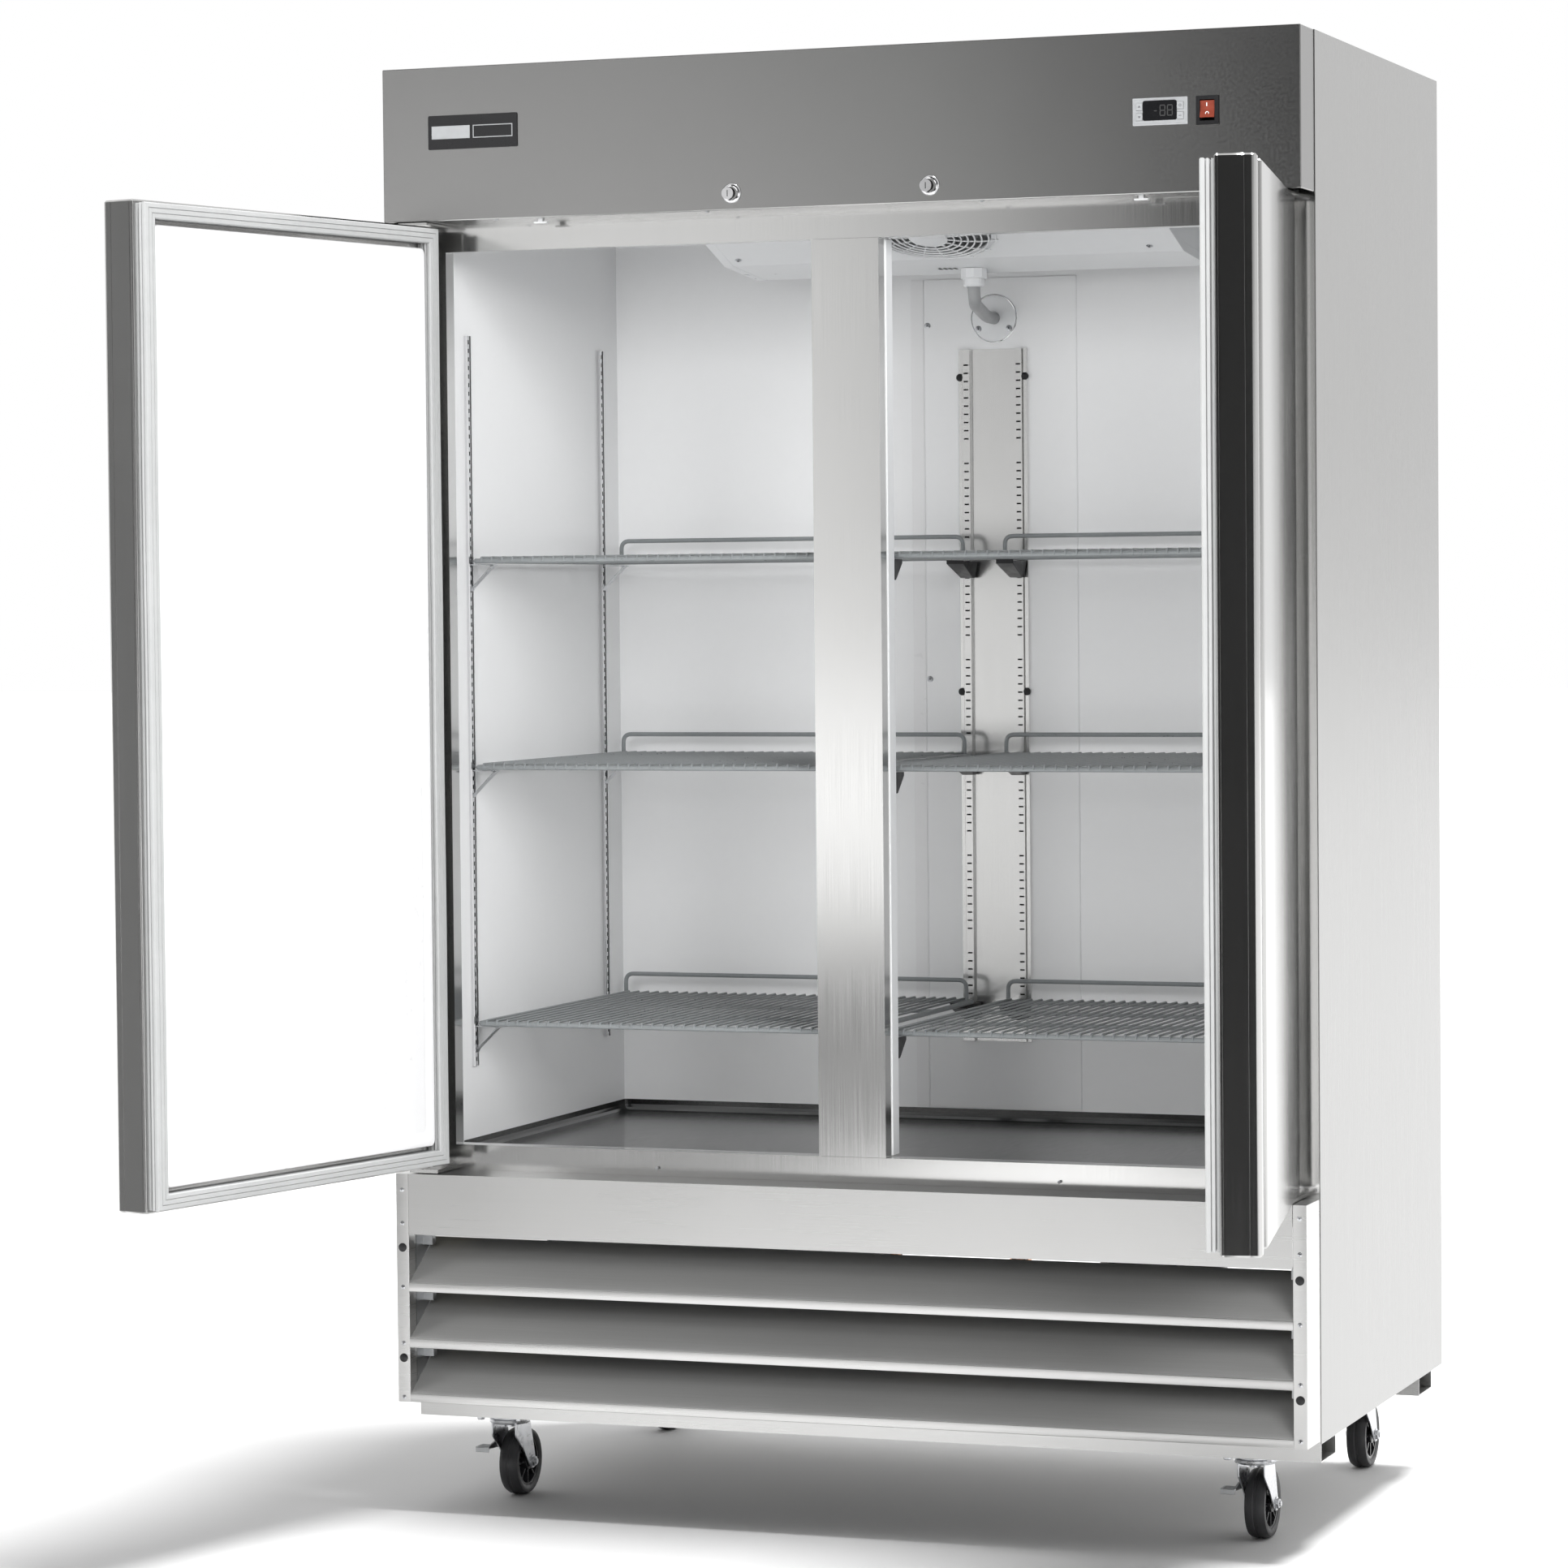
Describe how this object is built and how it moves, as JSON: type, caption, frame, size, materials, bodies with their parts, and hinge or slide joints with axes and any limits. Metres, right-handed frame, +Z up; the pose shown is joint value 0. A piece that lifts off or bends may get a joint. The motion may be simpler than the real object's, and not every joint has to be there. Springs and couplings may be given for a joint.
{
  "type": "reach in refrigerator",
  "caption": "Two-door upright stainless reach-in refrigerator with bottom machine bay, wire shelves, centre mullion and swivel casters; doors stand open.",
  "frame": {"origin": "on the floor, on the centre line, in the plane of the face frame that the door gaskets shut against", "axes": "+X to the right seen from the front, +Y from the front towards the rear, +Z up"},
  "size_m": [1.6031, 1.461, 2.107],
  "materials": {
    "stainless": "vertical brushed grain",
    "bright_stainless": "fine brushed, reflective",
    "zinc_plate": "bright zinc plated",
    "white_liner": "smooth white",
    "white_plastic": "gloss white moulding",
    "gasket_white": "soft white magnetic gasket",
    "foam_core": "foamed in place",
    "epoxy_grey": "grey epoxy coated wire",
    "black_plastic": "moulded black",
    "grey_plastic": "moulded grey",
    "red_lens": "translucent red",
    "fin_metal": "bare fins",
    "compressor_black": "black enamel",
    "wheel_rubber": "black rubber"
  },
  "bodies": {
    "cabinet": {"base_frame": "zinc_plate", "centre_mullion": "bright_stainless", "compressor": "compressor_black", "condenser_coil": "fin_metal", "controller_housing": "grey_plastic", "drain_hose": "grey_plastic", "drain_wall_plate": "white_plastic", "evaporator_housing": "white_plastic", "face_frame": "bright_stainless", "floor_pan": "bright_stainless", "header_cover": "stainless", "hinge_bracket_low_left": "bright_stainless", "hinge_bracket_low_right": "bright_stainless", "hinge_bracket_top_left": "bright_stainless", "hinge_bracket_top_right": "bright_stainless", "inner_liner": "white_liner", "insulation": "foam_core", "kick_panel": "stainless", "louvre_panel": "stainless", "outer_shell": "stainless", "rear_panel": "zinc_plate", "rear_shelf_bracket": "bright_stainless", "shelf_upright_left_front": "bright_stainless", "shelf_upright_left_rear": "bright_stainless", "shelf_upright_right_front": "bright_stainless", "shelf_upright_right_rear": "bright_stainless", "switch_bezel": "black_plastic"},
    "door_left": {"door_shell_left": "stainless", "door_liner_left": "white_liner", "door_gasket_left": "gasket_white"},
    "door_right": {"door_shell_right": "stainless", "door_liner_right": "white_liner", "door_gasket_right": "gasket_white"},
    "key_1": {"controller_key_1": "grey_plastic"},
    "key_2": {"controller_key_2": "grey_plastic"},
    "key_3": {"controller_key_3": "grey_plastic"},
    "key_4": {"controller_key_4": "grey_plastic"},
    "rocker": {"switch_rocker": "red_lens"},
    "lock_left": {"lock_plug_left": "zinc_plate"},
    "lock_right": {"lock_plug_right": "zinc_plate"},
    "plunger_left": {"door_switch_left": "white_plastic"},
    "plunger_right": {"door_switch_right": "white_plastic"},
    "evaporator_rotor": {"evaporator_fan": "grey_plastic"},
    "condenser_rotor": {"condenser_fan": "fin_metal"},
    "shelf_left_top": {"shelf_left_top": "epoxy_grey"},
    "shelf_left_middle": {"shelf_left_middle": "epoxy_grey"},
    "shelf_left_bottom": {"shelf_left_bottom": "epoxy_grey"},
    "shelf_right_top": {"shelf_right_top": "epoxy_grey"},
    "shelf_right_middle": {"shelf_right_middle": "epoxy_grey"},
    "shelf_right_bottom": {"shelf_right_bottom": "epoxy_grey"},
    "swivel_front_left": {"caster_fork_front_left": "zinc_plate"},
    "wheel_front_left": {"wheel_front_left": "wheel_rubber"},
    "brake_left": {"brake_pedal_front_left": "black_plastic"},
    "swivel_rear_left": {"caster_fork_rear_left": "zinc_plate"},
    "wheel_rear_left": {"wheel_rear_left": "wheel_rubber"},
    "swivel_front_right": {"caster_fork_front_right": "zinc_plate"},
    "wheel_front_right": {"wheel_front_right": "wheel_rubber"},
    "brake_right": {"brake_pedal_front_right": "black_plastic"},
    "swivel_rear_right": {"caster_fork_rear_right": "zinc_plate"},
    "wheel_rear_right": {"wheel_rear_right": "wheel_rubber"}
  },
  "joints": [
    {"name": "door_left_hinge", "type": "hinge", "parent": "cabinet", "child": "door_left", "pos_m": [-0.654, -0.057, 1.194], "axis": [0, 0, -1], "range_deg": [-103.2, 16.8]},
    {"name": "door_right_hinge", "type": "hinge", "parent": "cabinet", "child": "door_right", "pos_m": [0.654, -0.057, 1.194], "axis": [0, 0, 1], "range_deg": [-100.4, 19.6]},
    {"name": "key_1_press", "type": "slide", "parent": "cabinet", "child": "key_1", "axis": [0, 1, 0], "range_m": [0, 0.0008], "stiffness_N_per_m": 300},
    {"name": "key_2_press", "type": "slide", "parent": "cabinet", "child": "key_2", "axis": [0, 1, 0], "range_m": [0, 0.0008], "stiffness_N_per_m": 300},
    {"name": "key_3_press", "type": "slide", "parent": "cabinet", "child": "key_3", "axis": [0, 1, 0], "range_m": [0, 0.0008], "stiffness_N_per_m": 300},
    {"name": "key_4_press", "type": "slide", "parent": "cabinet", "child": "key_4", "axis": [0, 1, 0], "range_m": [0, 0.0008], "stiffness_N_per_m": 300},
    {"name": "rocker_tilt", "type": "hinge", "parent": "cabinet", "child": "rocker", "pos_m": [0.55425, -0.0665, 1.99585], "axis": [1, 0, 0], "range_deg": [0, 18]},
    {"name": "lock_left_turn", "type": "hinge", "parent": "cabinet", "child": "lock_left", "pos_m": [-0.148, -0.073, 1.9085], "axis": [0, 1, 0], "range_deg": [0, 90]},
    {"name": "lock_right_turn", "type": "hinge", "parent": "cabinet", "child": "lock_right", "pos_m": [0.148, -0.073, 1.9085], "axis": [0, 1, 0], "range_deg": [0, 90]},
    {"name": "plunger_left_press", "type": "slide", "parent": "cabinet", "child": "plunger_left", "axis": [0, 0, 1], "range_m": [0, 0.003], "stiffness_N_per_m": 120},
    {"name": "plunger_right_press", "type": "slide", "parent": "cabinet", "child": "plunger_right", "axis": [0, 0, 1], "range_m": [0, 0.003], "stiffness_N_per_m": 120},
    {"name": "evaporator_spin", "type": "hinge", "parent": "cabinet", "child": "evaporator_rotor", "pos_m": [0.0475, 0.24281, 1.89771], "axis": [0, 0.3303, 0.9439], "continuous": true},
    {"name": "condenser_spin", "type": "hinge", "parent": "cabinet", "child": "condenser_rotor", "pos_m": [-0.24, 0.155, 0.295], "axis": [0, 1, 0], "continuous": true},
    {"name": "shelf_left_top_lift", "type": "slide", "parent": "cabinet", "child": "shelf_left_top", "axis": [0, 0, 1], "range_m": [0, 0.03]},
    {"name": "shelf_left_middle_lift", "type": "slide", "parent": "cabinet", "child": "shelf_left_middle", "axis": [0, 0, 1], "range_m": [0, 0.03]},
    {"name": "shelf_left_bottom_lift", "type": "slide", "parent": "cabinet", "child": "shelf_left_bottom", "axis": [0, 0, 1], "range_m": [0, 0.03]},
    {"name": "shelf_right_top_lift", "type": "slide", "parent": "cabinet", "child": "shelf_right_top", "axis": [0, 0, 1], "range_m": [0, 0.03]},
    {"name": "shelf_right_middle_lift", "type": "slide", "parent": "cabinet", "child": "shelf_right_middle", "axis": [0, 0, 1], "range_m": [0, 0.03]},
    {"name": "shelf_right_bottom_lift", "type": "slide", "parent": "cabinet", "child": "shelf_right_bottom", "axis": [0, 0, 1], "range_m": [0, 0.03]},
    {"name": "swivel_front_left_turn", "type": "hinge", "parent": "cabinet", "child": "swivel_front_left", "pos_m": [-0.5714, 0.075, 0.118], "axis": [0, 0, 1], "continuous": true},
    {"name": "wheel_front_left_roll", "type": "hinge", "parent": "swivel_front_left", "child": "wheel_front_left", "pos_m": [-0.5714, 0.113, 0.05], "axis": [1, 0, 0], "continuous": true},
    {"name": "brake_left_press", "type": "hinge", "parent": "swivel_front_left", "child": "brake_left", "pos_m": [-0.5714, 0.097, 0.079], "axis": [1, 0, 0], "range_deg": [0, 12]},
    {"name": "swivel_rear_left_turn", "type": "hinge", "parent": "cabinet", "child": "swivel_rear_left", "pos_m": [-0.5714, 0.672, 0.118], "axis": [0, 0, 1], "continuous": true},
    {"name": "wheel_rear_left_roll", "type": "hinge", "parent": "swivel_rear_left", "child": "wheel_rear_left", "pos_m": [-0.5714, 0.71, 0.05], "axis": [1, 0, 0], "continuous": true},
    {"name": "swivel_front_right_turn", "type": "hinge", "parent": "cabinet", "child": "swivel_front_right", "pos_m": [0.5714, 0.075, 0.118], "axis": [0, 0, 1], "continuous": true},
    {"name": "wheel_front_right_roll", "type": "hinge", "parent": "swivel_front_right", "child": "wheel_front_right", "pos_m": [0.5714, 0.113, 0.05], "axis": [1, 0, 0], "continuous": true},
    {"name": "brake_right_press", "type": "hinge", "parent": "swivel_front_right", "child": "brake_right", "pos_m": [0.5714, 0.097, 0.079], "axis": [1, 0, 0], "range_deg": [0, 12]},
    {"name": "swivel_rear_right_turn", "type": "hinge", "parent": "cabinet", "child": "swivel_rear_right", "pos_m": [0.5714, 0.672, 0.118], "axis": [0, 0, 1], "continuous": true},
    {"name": "wheel_rear_right_roll", "type": "hinge", "parent": "swivel_rear_right", "child": "wheel_rear_right", "pos_m": [0.5714, 0.71, 0.05], "axis": [1, 0, 0], "continuous": true}
  ]
}
